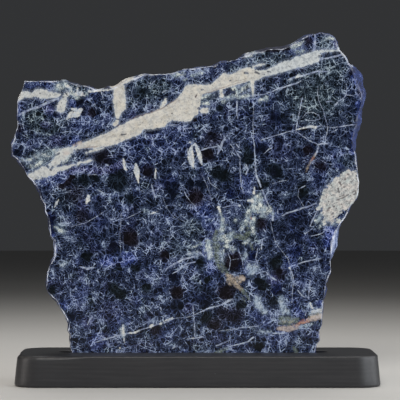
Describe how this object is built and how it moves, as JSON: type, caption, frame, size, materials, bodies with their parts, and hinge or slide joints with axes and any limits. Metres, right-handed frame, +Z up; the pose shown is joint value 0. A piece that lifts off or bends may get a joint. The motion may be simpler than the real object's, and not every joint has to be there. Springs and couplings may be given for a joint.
{
  "type": "sodalite slice on stand",
  "caption": "Polished slice of sodalite with a rough natural rim, standing upright in a slotted black-stained wooden block.",
  "frame": {"origin": "the middle of the stand's underside, on the surface it rests on", "axes": "+Z up; X along the stand, +X to the right of someone who faces the polished face; the polished face looks along -Y"},
  "size_m": [0.2955, 0.09, 0.2822],
  "materials": {
    "polished_sodalite": "polished face, rough natural rim",
    "black_stained_wood": "matt black stain"
  },
  "bodies": {
    "root": {"sodalite_slab": "polished_sodalite", "wooden_stand": "black_stained_wood"}
  },
  "joints": []
}
